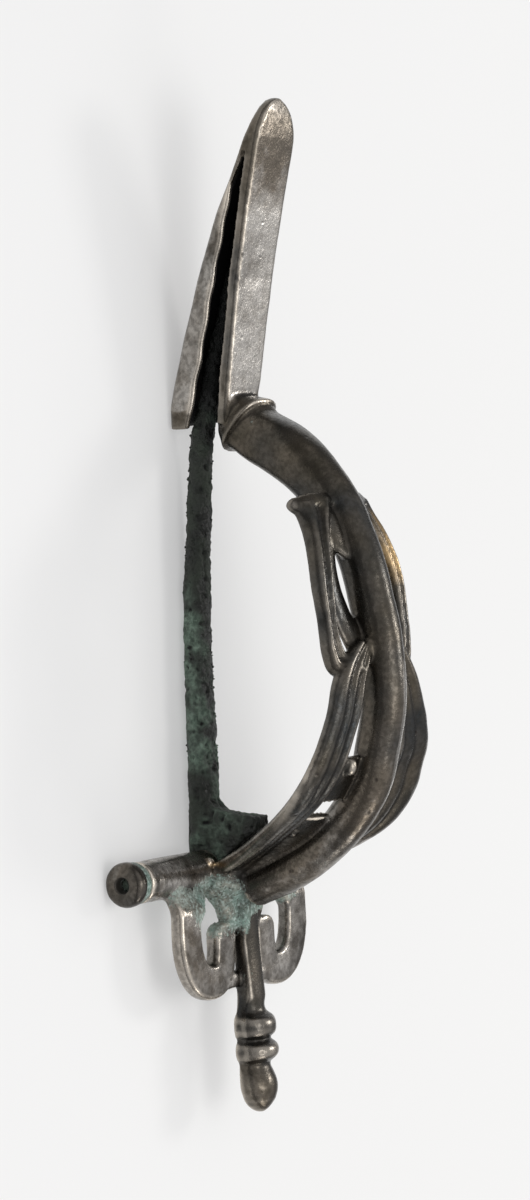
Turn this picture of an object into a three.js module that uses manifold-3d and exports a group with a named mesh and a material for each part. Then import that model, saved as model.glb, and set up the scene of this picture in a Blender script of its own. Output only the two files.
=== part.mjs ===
// A cast silver brooch with a hinged pin: an arched bow with two openwork straps on each side, a long
// foot that is hollowed into a sheath for the pin, a tubular crossbar, an openwork head plate with a
// moulded terminal, a cap on each end of the crossbar, and a corroded copper-alloy pin on its axle.
// Millimetres, +Z up. The brooch stands on a table as it is worn: bow up, pin below.
// The foot points to -X and the terminal to +X, and the crossbar lies along Y.
import * as THREE from "three";
import { mergeVertices } from "three/addons/utils/BufferGeometryUtils.js";
import Module from "manifold-3d";

const wasm = await Module();
wasm.setup();

// Lengths are measured along the brooch from the hinge axis, towards the foot
const FOOT_TIP = 65.8;
const TERMINAL_TIP = -21.2;
const CENTRE = (FOOT_TIP + TERMINAL_TIP) / 2;

// Crossbar, caps and axle
const HINGE_HEIGHT = 1.95;
const TUBE_RADIUS = 1.8;
const CAP_RADIUS = 1.95;
const CAP_FRONT = 15.1;
const CAP_DISC = 1.35;
const COLLAR_LENGTH = 0.7;
const COLLAR_RADIUS = 1.7;
const CAP_TO_TUBE = 0.1;
const AXLE_RADIUS = 0.5;
const AXLE_CLEARANCE = 0.1;
const AXLE_RECESS = 0.9;

// Pin and the slot that it turns in
const PIN_SIDE = 1.5;
const PIN_HEAD_THICKNESS = 2.3;
const PIN_HEAD_RADIUS = 1.8;
const SLOT_CLEARANCE = 0.25;
const SLOT_REACH = 6.0;
const SLOT_TOP = 5.4;
const SLOT_BELOW = 0.3;
const LUG_REACH = 6.6;
const LUG_TOP = 5.6;

// Bow
const BOW_WIDTH = 3.75;
const BAND_WIDTH = 4.8;
const STRAP_THICKNESS = 1.35;
const WEB_THICKNESS = 0.8;
const RIDGE_LENGTH = 1.3;

// Foot and its sheath
const FOOT_HALF_WIDTH = 2.75;
const FOOT_FLARE = 0.55;
const FOOT_BAR = 1.1;
const SHEATH_WALL = 0.6;
const SHEATH_MOUTH = 38.6;
const REST_LENGTH = 1.6;
const LIP_REACH = 0.6;

// Head plate
const PLATE_THICKNESS = 1.35;
const PLATE_TOP = 4.3;
const PLATE_REACH = 8.3;
const PLATE_BAND = 3.0;
const STEM_WIDTH = 2.5;
const STEM_TOP = 5.1;
const STEM_BOTTOM = 3.5;

// The far trumpet stands this much closer to the bow than the near one
const FAR_TRUMPET_SHARE = 0.82;

const SIDES = 12;
const BODY_STEPS = 30;

// A point from its length along the brooch, its side (towards -Y is positive) and its height
const at = (length, side, height) => new THREE.Vector3(CENTRE - length, -side, height);

// Value at x between the rows [x, value] of a table
function between(rows, x) {
  if (x <= rows[0][0]) return rows[0][1];
  for (let i = 1; i < rows.length; i += 1) {
    const [x0, v0] = rows[i - 1];
    const [x1, v1] = rows[i];
    if (x <= x1) return v0 + ((v1 - v0) * (x - x0)) / (x1 - x0);
  }
  return rows[rows.length - 1][1];
}

// Closed geometry as a manifold-3d solid
function solid(geometry) {
  const bare = geometry.index ? geometry.toNonIndexed() : geometry.clone();
  bare.deleteAttribute("normal");
  bare.deleteAttribute("uv");
  const merged = mergeVertices(bare, 1e-4);
  const made = new wasm.Manifold(
    new wasm.Mesh({
      numProp: 3,
      vertProperties: merged.attributes.position.array,
      triVerts: new Uint32Array(merged.index.array),
    }),
  );
  return made.volume() < 0 ? solid(turnedRound(merged)) : made;
}

function turnedRound(geometry) {
  const order = geometry.index.array;
  for (let i = 0; i < order.length; i += 3) {
    [order[i + 1], order[i + 2]] = [order[i + 2], order[i + 1]];
  }
  return geometry;
}

// Triangles that fill a nearly flat ring, wound the same way round as the ring
function endFaces(ring) {
  const normal = new THREE.Vector3();
  ring.forEach((p, i) => normal.add(p.clone().cross(ring[(i + 1) % ring.length])));
  normal.normalize();
  const flat = new THREE.Quaternion().setFromUnitVectors(normal, new THREE.Vector3(0, 0, 1));
  const outline = ring.map((p) => p.clone().applyQuaternion(flat)).map((p) => new THREE.Vector2(p.x, p.y));
  return THREE.ShapeUtils.triangulateShape(outline, []).map((face) => face.map((i) => ring[i]));
}

// Skin over a row of rings with the same number of points, closed at both ends
function loft(rings) {
  const count = rings[0].length;
  const corners = [];
  const put = (...points) => points.forEach((p) => corners.push(p.x, p.y, p.z));
  for (let i = 1; i < rings.length; i += 1) {
    for (let j = 0; j < count; j += 1) {
      const k = (j + 1) % count;
      put(rings[i - 1][j], rings[i][j], rings[i][k]);
      put(rings[i - 1][j], rings[i][k], rings[i - 1][k]);
    }
  }
  endFaces(rings[0]).forEach(([a, b, c]) => put(a, b, c));
  endFaces(rings[rings.length - 1]).forEach(([a, b, c]) => put(c, b, a));
  const geometry = new THREE.BufferGeometry();
  geometry.setAttribute("position", new THREE.Float32BufferAttribute(corners, 3));
  return solid(geometry);
}

const curve = (rows) => new THREE.CatmullRomCurve3(rows.map((row) => at(...row)), false, "centripetal");

// Bar along a curve in the brooch's middle plane: size(t) gives its width and its thickness, and
// power(t) its section, from 2 for an oval to 4 for nearly a rectangle
function ovalBar(path, size, steps, power = () => 2) {
  const rings = [];
  for (let i = 0; i <= steps; i += 1) {
    const t = i / steps;
    const along = path.getTangent(t);
    const across = new THREE.Vector3(0, 1, 0);
    const out = new THREE.Vector3().crossVectors(across, along).normalize();
    const [width, thickness] = size(t);
    const squared = (value) => Math.sign(value) * Math.abs(value) ** (2 / power(t));
    const ring = [];
    for (let j = 0; j < SIDES; j += 1) {
      const turn = (2 * Math.PI * (j + 0.5)) / SIDES;
      ring.push(
        path
          .getPoint(t)
          .addScaledVector(across, (squared(Math.cos(turn)) * width) / 2)
          .addScaledVector(out, (squared(Math.sin(turn)) * thickness) / 2),
      );
    }
    rings.push(ring);
  }
  return loft(rings);
}

// Strap between an inner and an outer rail. Its top is two round ribs with a groove between them.
const RIB_PROFILE = [[0, 0], [0.08, 0.35], [0.2, 0.5], [0.34, 0.35], [0.44, 0.1], [0.56, 0.35], [0.76, 0.6],
  [0.93, 0.35], [1, 0], [0.88, -0.4], [0.5, -0.45], [0.12, -0.4]];
const FLAT_PROFILE = [[0, -0.4], [0, 0.4], [1, 0.4], [1, -0.4]];

function strap(inner, outer, thickness, profile, steps) {
  const [inside, outside] = [curve(inner), curve(outer)];
  const rings = [];
  for (let i = 0; i <= steps; i += 1) {
    const t = i / steps;
    const [a, b] = [inside.getPoint(t), outside.getPoint(t)];
    const across = b.clone().sub(a);
    const along = inside.getTangent(t).add(outside.getTangent(t)).normalize();
    const out = new THREE.Vector3().crossVectors(along, across).normalize();
    if (out.z + 0.4 * out.x * Math.sign(CENTRE - a.x) < 0) out.negate();
    rings.push(profile.map(([share, height]) =>
      a.clone().addScaledVector(across, share)
        .addScaledVector(out, height * thickness)));
  }
  return loft(rings);
}

// The same rows on the brooch's other side
const mirrored = (rows) => rows.map(([length, side, height]) => [length, -side, height]);
const onBothSides = (build) => [build((rows) => rows), build(mirrored)];
const farTrumpet = (rows) => rows.map(([length, side, height]) => [length, -side * FAR_TRUMPET_SHARE, height]);
const trumpets = (build) => [build((rows) => rows), build(farTrumpet)];

// Arched bar, from inside the foot to the crossbar, as rows of length, side, height and of width, thickness
const BOW_PATH = [[41.0, 0, 5.6], [39.6, 0, 5.9], [38.3, 0, 6.5], [37.2, 0, 7.9], [35.9, 0, 10.2], [34.2, 0, 12.3],
  [32.0, 0, 14.2], [29.8, 0, 15.9], [26.3, 0, 17.4], [22.9, 0, 18.2], [19.4, 0, 18.9], [14.5, 0, 19.1], [10.7, 0, 18.3],
  [6.9, 0, 17.0], [3.0, 0, 13.7], [0.1, 0, 9.5], [-1.7, 0, 5.3]];
const RIDGE_AT = 0.125;

function bowBar() {
  const widths = [[0, BAND_WIDTH], [0.12, BAND_WIDTH * 0.98], [0.25, BAND_WIDTH], [0.38, BOW_WIDTH * 1.12],
    [0.46, BOW_WIDTH], [0.85, BOW_WIDTH], [1, BOW_WIDTH * 1.1]];
  const depths = [[0, BAND_WIDTH * 0.25], [0.06, BAND_WIDTH * 0.6], [0.12, BAND_WIDTH * 0.9], [0.25, BAND_WIDTH * 0.98],
    [0.38, BOW_WIDTH * 1.12], [0.46, BOW_WIDTH], [0.85, BOW_WIDTH], [1, BOW_WIDTH * 0.9]];
  return ovalBar(curve(BOW_PATH), (t) => [between(widths, t), between(depths, t)], BODY_STEPS,
    (t) => between([[0, 4], [0.2, 3], [0.34, 2]], t));
}

// Raised moulding between the foot and the bow
function footRidge() {
  const path = curve(BOW_PATH);
  const swell = [[0, 0.9], [0.35, 1.1], [0.65, 1.1], [1, 0.92]];
  const [centre, along] = [path.getPoint(RIDGE_AT), path.getTangent(RIDGE_AT + 0.02)];
  const size = (t) => {
    const grown = BAND_WIDTH * between(swell, t);
    return [grown, grown];
  };
  const short = {
    getPoint: (t) => centre.clone().addScaledVector(along, RIDGE_LENGTH * (t - 0.5)),
    getTangent: () => along,
  };
  return ovalBar(short, size, 4, () => 2.8);
}

// Upper strap: a trumpet whose mouth opens towards the foot and whose tail turns back to the bow
function upperStrap(side) {
  const outer = [[31, 6.1, 14.5], [29.8, 6.0, 15.1], [28, 6.5, 16.0], [26, 7.1, 16.7], [24, 7.4, 17.1],
    [21.5, 7.2, 17.4], [19, 7.1, 17.6], [17.2, 6.5, 17.8], [16.5, 5.0, 18.1], [16.9, 3.2, 18.6]];
  const inner = [[31.5, 1.9, 15.6], [30.2, 2.8, 16.1], [28.2, 4.1, 16.8], [26, 4.9, 17.3], [24, 5.3, 17.6],
    [21.8, 5.4, 17.8], [20, 5.3, 18.0], [18.8, 4.8, 18.2], [18.3, 4.1, 18.4], [18.3, 3.1, 18.7]];
  return strap(side(inner), side(outer), STRAP_THICKNESS, RIB_PROFILE, 20);
}

// Lip round the trumpet's mouth
function mouthLip(side) {
  const inner = [[31.8, 1.8, 15.3], [31.4, 1.7, 15.6], [31.0, 1.8, 15.8]];
  const outer = [[31.4, 6.1, 14.1], [31.0, 6.5, 14.4], [30.6, 6.2, 14.7]];
  return strap(side(inner), side(outer), STRAP_THICKNESS * 1.25, RIB_PROFILE, 4);
}

// Tail of the trumpet, beside the bow, set a little lower than the trumpet
function upperTail(side) {
  const outer = [[28.4, 4.3, 16.4], [26.2, 4.9, 16.8], [24, 5.2, 17.1], [21.8, 4.9, 17.3],
    [20.2, 4.3, 17.6], [18.8, 3.8, 18.0], [17.6, 3.6, 18.3]];
  const inner = [[28.4, 2.6, 16.3], [26.2, 3.0, 16.5], [24, 2.6, 16.8], [22.2, 1.7, 17.2],
    [20.3, 1.2, 18.0], [18.8, 1.2, 18.5], [17.6, 1.2, 18.6]];
  return strap(side(inner), side(outer), WEB_THICKNESS, FLAT_PROFILE, 12);
}

// Solid stretch between the trumpet's throat and the bow
function throatWeb(side) {
  const outer = [[31.3, 3.5, 15.1], [29.5, 3.9, 16.0], [27.6, 3.6, 16.6], [26.4, 2.0, 16.9]];
  const inner = [[31.3, 1.2, 15.3], [29.5, 1.2, 16.2], [27.6, 1.2, 17.0], [26.0, 1.2, 17.3]];
  return strap(side(inner), side(outer), WEB_THICKNESS * 1.2, FLAT_PROFILE, 6);
}

// Lower strap, from the middle of the bow to the crossbar
const LOWER_OUTER = [[19.6, 3.0, 18.3], [18.6, 4.9, 18.4], [17.3, 6.4, 18.5], [15.8, 7.3, 18.5], [14, 7.8, 18.4],
  [12.3, 8.4, 18.1], [10.4, 9.0, 17.6], [8.6, 9.4, 16.8], [6.8, 9.3, 15.4], [5.0, 8.4, 13.1], [3.5, 6.8, 10.3],
  [2.0, 4.8, 7.1], [0.9, 3.9, 4.6], [0.3, 3.8, 2.8]];
const LOWER_INNER = [[18.9, 1.5, 18.7], [17.6, 2.2, 18.8], [16.2, 2.9, 18.8], [14.6, 3.4, 18.8], [13, 3.9, 18.6],
  [11.6, 4.4, 18.3], [10, 4.7, 17.8], [8.4, 4.8, 16.9], [6.9, 4.7, 15.6], [5.3, 4.2, 13.5], [3.8, 3.4, 11.1],
  [2.2, 2.4, 8.3], [0.7, 1.8, 5.8], [-0.4, 1.6, 4.4]];

function lowerStrap(side) {
  return strap(side(LOWER_INNER), side(LOWER_OUTER), STRAP_THICKNESS, RIB_PROFILE, 24);
}

// Bridge from the lower strap to the bow, with a pellet on it, and the solid stretch at the head
function lowerWebs(side) {
  const bridge = strap(
    side([[9.9, 1.2, 17.6], [8.2, 1.2, 16.9], [6.3, 1.2, 15.8]]),
    side([[9.9, 5.0, 17.4], [8.2, 5.1, 16.5], [6.3, 4.9, 14.8]]), WEB_THICKNESS, FLAT_PROFILE, 5);
  const head = strap(
    side([[4.9, 1.2, 14.4], [2.8, 1.0, 12.2], [0.6, 0.8, 8.6], [-0.6, 0.8, 6.0]]),
    side([[4.9, 4.2, 12.9], [3.2, 3.4, 10.1], [1.6, 2.6, 7.0], [0.2, 2.4, 4.6]]), WEB_THICKNESS, FLAT_PROFILE, 8);
  const [[length, away, height]] = side([[9.0, 3.2, 17.5]]);
  const pellet = new THREE.SphereGeometry(0.75, 10, 6).translate(...at(length, away, height).toArray());
  return bridge.add(head).add(solid(pellet));
}

// Foot: heights and widths along it
const BAR_TOPS = [[39, 6.2], [43.7, 7.0], [50.7, 8.2], [56.9, 9.5], [62.4, 10.8], [FOOT_TIP, 11.5]];
const SHEATH_FLOORS = [[SHEATH_MOUTH, 0], [SHEATH_MOUTH + REST_LENGTH, 0], [45.9, 1.8], [50.8, 3.5], [56.4, 5.8],
  [60.5, 8.2], [63.1, 9.5], [65.2, 10.4]];
const RIMS = [[38.4, 2.0], [43.8, 3.7], [50.7, 5.5], [54.6, 6.7], [58.6, 7.8], [62, 9.2], [65.2, 10.5]];
const TIP_ROUNDING = 4.2;

function footHalfWidth(length) {
  const flare = FOOT_HALF_WIDTH + (FOOT_FLARE * (length - SHEATH_MOUTH)) / (FOOT_TIP - SHEATH_MOUTH);
  const past = Math.max(0, (length - (FOOT_TIP - TIP_ROUNDING)) / TIP_ROUNDING);
  return flare * Math.sqrt(Math.max(0.004, 1 - past * past));
}

function footBar() {
  const stations = [39.2, 42, 46, 50.7, 55, 59, 62, 63.2, 64.3, 65, 65.5, FOOT_TIP];
  return loft(stations.map((length) => {
    const half = footHalfWidth(length);
    const top = between(BAR_TOPS, length) - 0.5 * (1 - half / footHalfWidth(60));
    const chamfer = Math.min(0.35, half * 0.3);
    const bottom = top - FOOT_BAR * Math.min(1, 0.5 + half / FOOT_HALF_WIDTH / 2);
    return [[half, bottom], [half, top - 0.3], [half - chamfer, top], [-half + 1.7 * chamfer, top],
      [-half, top - 0.5], [-half, bottom], [0, bottom - 0.02]].map(([side, height]) => at(length, side, height));
  }));
}

// Sheath under the bar: back wall, floor and near lip, open towards the near side and at the bow's end
function sheath() {
  const stations = [SHEATH_MOUTH, SHEATH_MOUTH + REST_LENGTH, 43, 45.9, 48.4, 50.8, 53.6, 56.4, 58.5, 60.5, 62, 63.2, 64.3, 65.2];
  return loft(stations.map((length) => {
    const half = footHalfWidth(length) - 0.02;
    const floor = between(SHEATH_FLOORS, length);
    const roof = Math.max(between(BAR_TOPS, length) - FOOT_BAR * 0.6, floor + 0.2);
    const wall = Math.min(SHEATH_WALL, (roof - floor) * 0.45);
    const round = Math.min(0.7, (roof - floor) * 0.4, half * 0.4);
    const rim = Math.max(between(RIMS, length), floor + wall + 0.05);
    const hollow = Math.max(0.05, round - wall);
    return [[-half, roof], [-half, floor + round], [-half + 0.3 * round, floor + 0.3 * round], [-half + round, floor],
      [half - round, floor], [half - 0.3 * round, floor + 0.3 * round], [half, floor + round], [half, rim],
      [half - wall, rim + 0.02], [half - wall, floor + wall + hollow], [half - wall - hollow, floor + wall],
      [-half + wall + hollow, floor + wall], [-half + wall, floor + wall + hollow], [-half + wall, roof]]
      .map(([side, height]) => at(length - (length < 41 ? LIP_REACH * Math.max(0, side / half) : 0), side, height));
  }));
}

// Tube of the crossbar, without its bore
function crossbar() {
  const tubeEnd = CAP_FRONT - CAP_DISC - COLLAR_LENGTH - CAP_TO_TUBE;
  return roundBar(TUBE_RADIUS, 2 * tubeEnd, 20);
}

// Cylinder along Y about the hinge axis
function roundBar(radius, length, sides) {
  const bar = new THREE.CylinderGeometry(radius, radius, length, sides);
  bar.translate(CENTRE, 0, HINGE_HEIGHT);
  return solid(bar);
}

// Saddle that joins the end of the bow, the head plate and both halves of the crossbar
function saddle() {
  const half = 4.3;
  const outline = [[1.2, 2.8], [0.8, 4.6], [-0.2, 5.6], [-1.6, 5.9], [-3.0, STEM_TOP - 0.3], [-3.0, STEM_BOTTOM - 0.2], [-1.2, 1.1],
    [0, 0.9]];
  const rows = [[-half, 0.55], [-2.6, 0.9], [2.6, 0.9], [half, 0.55]];
  return loft(rows.map(([side, share]) =>
    outline.map(([length, height]) => at(length * share, side, HINGE_HEIGHT + (height - HINGE_HEIGHT) * share))));
}

// Flat band of one width along a line in the plane of the head plate
function plateBand(points, width, top, thickness) {
  const line = new THREE.CatmullRomCurve3(points.map(([side, length]) => at(length, side, 0)), false, "centripetal");
  const steps = points.length * 2;
  const rings = [];
  for (let i = 0; i <= steps; i += 1) {
    const t = i / steps;
    const across = new THREE.Vector3(0, 0, 1).cross(line.getTangent(t)).normalize().multiplyScalar(width(t) / 2);
    const [left, right] = [line.getPoint(t).add(across), line.getPoint(t).sub(across)];
    rings.push([[left, top - thickness], [left, top], [right, top], [right, top - thickness]]
      .map(([p, height]) => p.clone().setZ(height)));
  }
  return loft(rings);
}

// One arm of the openwork plate: down from the crossbar, round, and up again into an inner curl
function plateArm(side) {
  const reach = PLATE_REACH;
  const arm = [[reach - 0.1, 0.2], [reach, -2.6], [reach, -5.6], [reach - 0.5, -7.6], [reach - 1.6, -8.9], [reach - 3.2, -9.35],
    [reach - 4.6, -8.9], [reach - 5.1, -7.4], [reach - 5.2, -5.9], [reach - 5.2, -4.8]];
  const rows = side(arm.map(([away, length]) => [length, away, 0])).map(([length, away]) => [away, length]);
  const width = (t) => (PLATE_BAND - 0.2 * t) * Math.sqrt(1 - 0.8 * Math.max(0, (t - 0.9) / 0.1) ** 2);
  const foot = side([[-9.3, reach - 3.4, 0], [-9.2, 0.6, 0]]).map(([length, away]) => [away, length]);
  return plateBand(rows, width, PLATE_TOP, PLATE_THICKNESS)
    .add(plateBand(foot, () => 2.0, PLATE_TOP, PLATE_THICKNESS));
}

// Corners of the plate beside the crossbar, which leave a pointed opening between arm and stem
function plateCorners(side) {
  const wedge = (points) => loft([PLATE_TOP - PLATE_THICKNESS, PLATE_TOP].map((height) =>
    side(points.map(([away, length]) => [length, away, 0])).map(([length, away]) => at(length, away, height))));
  return wedge([[3.9, -1.2], [PLATE_REACH - 1, -1.2], [PLATE_REACH - 1, -4.2], [PLATE_REACH - 1.7, -3.8]])
    .add(wedge([[4.2, -1.2], [0.8, -1.2], [0.8, -5.2], [2.3, -4.6], [3.1, -3.6]]));
}

// Stem of the plate and the moulded terminal: two rings and a bud, flat below
function stemAndTerminal() {
  const half = STEM_WIDTH / 2;
  const rows = [[0, 1, -0.3], [-6, 1, -0.15], [-9, 1, 0.1], [-11.5, 1, 0.3], [-12.5, 1.25, 0.35], [-12.9, 1.6, 0.9], [-13.4, 1.7, 1.3],
    [-14.2, 1.7, 1.3], [-14.75, 1.55, 0.9], [-14.95, 1.35, 0.55], [-15.15, 1.6, 1.1], [-15.6, 1.7, 1.5], [-16.3, 1.7, 1.45],
    [-16.75, 1.5, 1.0], [-17.0, 1.3, 0.7], [-17.8, 1.45, 0.95], [-18.9, 1.55, 1.3], [-19.9, 1.4, 1.2], [-20.7, 0.9, 0.75],
    [TERMINAL_TIP, 0.25, 0.1]];
  const underside = [[TERMINAL_TIP, 1.1], [-17, 0.35], [-12, 0.2], [-6, 0]];
  return loft(rows.map(([length, share, rise]) => {
    const [wide, top] = [half * share, STEM_TOP + rise];
    const low = STEM_BOTTOM + between(underside, length);
    const crown = length > -12 ? 0.12 : 0.42;
    const shoulder = low + (top - low) * (1 - crown);
    return [[wide * 0.92, low], [wide, low + 0.3], [wide * 0.97, shoulder], [wide * (1 - crown), top - crown * 0.3], [0, top],
      [-wide * (1 - crown), top - crown * 0.3], [-wide * 0.97, shoulder], [-wide, low + 0.3], [-wide * 0.92, low]]
      .map(([side, height]) => at(length, side, height));
  }));
}

// Room that the pin's head and its lug need to turn in, and the bore for the axle
function hingeRoom() {
  const width = PIN_HEAD_THICKNESS + 2 * SLOT_CLEARANCE;
  const radius = PIN_HEAD_RADIUS + SLOT_CLEARANCE;
  const round = new THREE.CylinderGeometry(radius, radius, width, 24).translate(CENTRE, -PIN_SIDE, HINGE_HEIGHT);
  const front = new THREE.BoxGeometry(SLOT_REACH, width, SLOT_TOP + SLOT_BELOW)
    .translate(CENTRE - SLOT_REACH / 2, -PIN_SIDE, (SLOT_TOP - SLOT_BELOW) / 2);
  const below = new THREE.BoxGeometry(4, width, 3).translate(CENTRE - 0.2, -PIN_SIDE, HINGE_HEIGHT - 1.5);
  return solid(round).add(solid(front)).add(solid(below))
    .add(roundBar(AXLE_RADIUS + AXLE_CLEARANCE, 2 * CAP_FRONT, 16));
}

function silverBody() {
  const sides = [upperTail, throatWeb, lowerStrap, lowerWebs, plateArm, plateCorners].flatMap(onBothSides)
    .concat([upperStrap, mouthLip].flatMap(trumpets));
  return [footRidge(), footBar(), sheath(), crossbar(), saddle(), stemAndTerminal(), ...sides]
    .reduce((whole, piece) => whole.add(piece), bowBar())
    .subtract(hingeRoom());
}

// Cap: a rounded disc with a hole for the axle, and a collar that stands against the tube
function cap(sign) {
  const bore = AXLE_RADIUS + AXLE_CLEARANCE;
  const round = 0.5;
  const outline = [[bore, 0], [COLLAR_RADIUS, 0], [COLLAR_RADIUS, COLLAR_LENGTH], [CAP_RADIUS, COLLAR_LENGTH + 0.1],
    [CAP_RADIUS, COLLAR_LENGTH + CAP_DISC - round], [CAP_RADIUS - 0.15, COLLAR_LENGTH + CAP_DISC - 0.2],
    [CAP_RADIUS - round, COLLAR_LENGTH + CAP_DISC], [bore, COLLAR_LENGTH + CAP_DISC], [bore, 0]];
  const disc = new THREE.LatheGeometry(outline.map(([r, y]) => new THREE.Vector2(r, y)), 24);
  const start = CAP_FRONT - CAP_DISC - COLLAR_LENGTH;
  if (sign > 0) disc.rotateX(Math.PI);
  disc.translate(CENTRE, -sign * start, HINGE_HEIGHT);
  return solid(disc);
}

// Pin: a flat head round the axle with a lug against the bow, and a shank that ends in the sheath
function pin() {
  const shank = [[2.2, 1.4], [6, 1.36], [12, 1.3], [18, 1.25], [24, 1.3], [30, 1.6], [36, 1.95], [40, 2.75],
    [45, 4.0], [50, 5.4], [55, 6.8]];
  const radii = [[0, 1.32], [0.15, 1.28], [0.4, 1.18], [0.6, 1.1], [0.75, 0.9], [0.9, 0.65], [1, 0.3]];
  const sideways = [[0, PIN_SIDE], [20, 1.3], [38, 0.5], [55, 0.2]];
  const path = curve(shank.map(([length, height]) => [length, between(sideways, length), height]));
  const rod = ovalBar(path, (t) => [2 * between(radii, t), 2 * between(radii, t)], 24);
  const outline = new THREE.Shape();
  outline.moveTo(0, -PIN_HEAD_RADIUS);
  outline.lineTo(5.2, -1.8);
  outline.lineTo(LUG_REACH, -1.5);
  outline.lineTo(LUG_REACH - 0.4, 0.5);
  outline.lineTo(5.1, 1.6);
  outline.lineTo(4.7, LUG_TOP);
  outline.lineTo(3.5, LUG_TOP);
  outline.lineTo(1.6, 2.9);
  outline.absarc(0, 0, PIN_HEAD_RADIUS, 1.1, 4.6, false);
  const eye = new THREE.Path();
  eye.absarc(0, 0, AXLE_RADIUS + AXLE_CLEARANCE, 0, 2 * Math.PI, true);
  outline.holes.push(eye);
  const head = new THREE.ExtrudeGeometry(outline, { depth: PIN_HEAD_THICKNESS, bevelEnabled: false, curveSegments: 10 });
  head.translate(0, 0, -PIN_HEAD_THICKNESS / 2);
  head.rotateX(Math.PI / 2);
  head.scale(-1, 1, 1);
  head.translate(CENTRE, -PIN_SIDE, HINGE_HEIGHT);
  return rod.add(solid(turnedRound(mergeVertices(head))));
}

const SILVER = new THREE.MeshStandardMaterial({ color: 0x6f675c, roughness: 0.38, metalness: 0.9 });
const CORRODED = new THREE.MeshStandardMaterial({ color: 0x2b332b, roughness: 0.85, metalness: 0.2 });

const brooch = new THREE.Group();

function place(name, shape, material) {
  const made = shape.getMesh();
  const geometry = new THREE.BufferGeometry();
  geometry.setAttribute("position", new THREE.BufferAttribute(made.vertProperties, 3));
  geometry.setIndex(new THREE.BufferAttribute(made.triVerts, 1));
  geometry.computeVertexNormals();
  const mesh = new THREE.Mesh(geometry, material);
  mesh.name = name;
  brooch.add(mesh);
}

place("silver_body", silverBody(), SILVER);
place("end_cap_near", cap(1), SILVER);
place("end_cap_far", cap(-1), SILVER);
place("hinge_axle", roundBar(AXLE_RADIUS, 2 * (CAP_FRONT - AXLE_RECESS), 16), CORRODED);
place("pin", pin(), CORRODED);

export default brooch;
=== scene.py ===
import math

import bmesh
import bpy
import numpy as np
from mathutils import Matrix, Vector, noise


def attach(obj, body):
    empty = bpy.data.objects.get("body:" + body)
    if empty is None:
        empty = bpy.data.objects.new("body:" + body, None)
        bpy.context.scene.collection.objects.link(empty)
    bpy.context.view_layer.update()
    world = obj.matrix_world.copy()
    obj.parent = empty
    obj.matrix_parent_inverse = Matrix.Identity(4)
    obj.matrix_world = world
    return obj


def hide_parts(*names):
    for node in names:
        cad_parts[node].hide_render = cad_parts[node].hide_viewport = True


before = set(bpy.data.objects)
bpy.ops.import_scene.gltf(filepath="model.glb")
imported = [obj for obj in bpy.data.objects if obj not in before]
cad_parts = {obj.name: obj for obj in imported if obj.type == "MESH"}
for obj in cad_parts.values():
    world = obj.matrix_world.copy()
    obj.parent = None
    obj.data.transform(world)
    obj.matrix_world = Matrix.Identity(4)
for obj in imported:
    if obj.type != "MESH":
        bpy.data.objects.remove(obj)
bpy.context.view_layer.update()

# The picture: the brooch stands bow up on a pale table, seen from its side and a little above, with
# the picture rolled so that the foot points up. One millimetre is 0.001 here, as in the solids.
MM = 0.001
HINGE = np.array([22.3, 0.0, 1.95])
RAISED = math.radians(33.0)
ROLLED = math.radians(2.9)
LEANS = math.radians(2.8)
CAMERA_DISTANCE = 300.0


def as_seen(foot, near, up):
    """A direction given by its parts towards the foot, the near side and up, in the brooch's frame."""
    along = foot * math.cos(LEANS) - up * math.sin(LEANS)
    return np.array([-along, -near, up * math.cos(LEANS) + foot * math.sin(LEANS)])


picture_right = as_seen(0, -math.sin(RAISED), math.cos(RAISED))
picture_up = as_seen(
    math.cos(ROLLED), -math.sin(ROLLED) * math.cos(RAISED), -math.sin(ROLLED) * math.sin(RAISED)
)
towards_camera = as_seen(
    math.sin(ROLLED), math.cos(ROLLED) * math.cos(RAISED), math.cos(ROLLED) * math.sin(RAISED)
)
aim = HINGE + 3.74 * picture_right + 23.2 * picture_up
eye = (aim + CAMERA_DISTANCE * towards_camera) * MM

lens = bpy.data.cameras.new("side_view")
lens.sensor_fit = "VERTICAL"
lens.sensor_height = 36.0
lens.lens = 103.5
lens.clip_start = 0.01
lens.clip_end = 10.0
camera = bpy.data.objects.new("side_view", lens)
axes = Matrix([list(picture_right), list(picture_up), list(towards_camera)]).transposed()
camera.matrix_world = Matrix.Translation(Vector(eye)) @ axes.to_4x4()
bpy.context.scene.collection.objects.link(camera)
bpy.context.scene.camera = camera
bpy.context.scene.view_settings.view_transform = "Standard"


def soft_light(name, place, size, power, warmth):
    """A square area light at a place in millimetres, aimed at the middle of the brooch."""
    lamp = bpy.data.lights.new(name, "AREA")
    lamp.size = size * MM
    lamp.energy = power
    lamp.color = warmth
    holder = bpy.data.objects.new(name, lamp)
    start = Vector(place) * MM
    away = (start - Vector((0, 0, 0.008))).normalized()
    holder.matrix_world = Matrix.Translation(start) @ away.to_track_quat("Z", "Y").to_matrix().to_4x4()
    bpy.context.scene.collection.objects.link(holder)


soft_light("window", (-60, 330, 300), 100, 0.40, (1.0, 0.985, 0.96))
soft_light("ceiling", (40, -40, 480), 260, 0.50, (1.0, 0.99, 0.975))
soft_light("head_end", (330, 60, 160), 120, 0.16, (1.0, 0.96, 0.9))

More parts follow.
